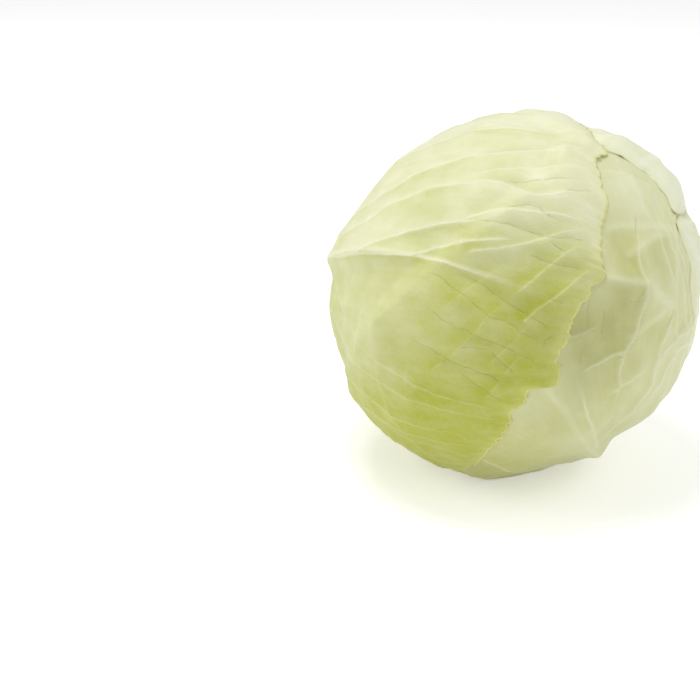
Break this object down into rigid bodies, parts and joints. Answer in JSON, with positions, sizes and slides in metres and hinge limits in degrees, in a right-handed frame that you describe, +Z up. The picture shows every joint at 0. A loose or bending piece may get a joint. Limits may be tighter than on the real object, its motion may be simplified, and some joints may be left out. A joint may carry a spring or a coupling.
{
  "type": "white cabbage",
  "caption": "Whole head of white cabbage lying on its side, wrapped in overlapping waxy leaves with pale ribs, a short cut stalk at the back.",
  "frame": {"origin": "bottom centre of the head's bounding box, on the surface it lies on", "axes": "+Z up, -Y towards the viewer and the crown, which points forward and 25 degrees up, +X to the viewer's right, the stalk at the back towards +Y and down"},
  "size_m": [0.1816, 0.1768, 0.1741],
  "materials": {
    "inner_leaves": "matte, pale packed leaves",
    "stalk": "matte, pale cut end",
    "wrapper_leaf_floor": "waxy, pale green with broad pale veins",
    "wrapper_leaf_top": "waxy, pale green with broad pale veins",
    "wrapper_leaf_lower": "waxy, pale grey-green with a keeled midrib",
    "wrapper_leaf_upper": "waxy, near white-green",
    "wrapper_leaf_right": "waxy, near white-green",
    "wrapper_leaf_left": "waxy, yellow-green with broad pale veins"
  },
  "bodies": {
    "root": {"inner_leaves": "inner_leaves", "stalk": "stalk", "wrapper_leaf_floor": "wrapper_leaf_floor", "wrapper_leaf_top": "wrapper_leaf_top", "wrapper_leaf_lower": "wrapper_leaf_lower", "wrapper_leaf_upper": "wrapper_leaf_upper", "wrapper_leaf_right": "wrapper_leaf_right", "wrapper_leaf_left": "wrapper_leaf_left"}
  },
  "joints": []
}
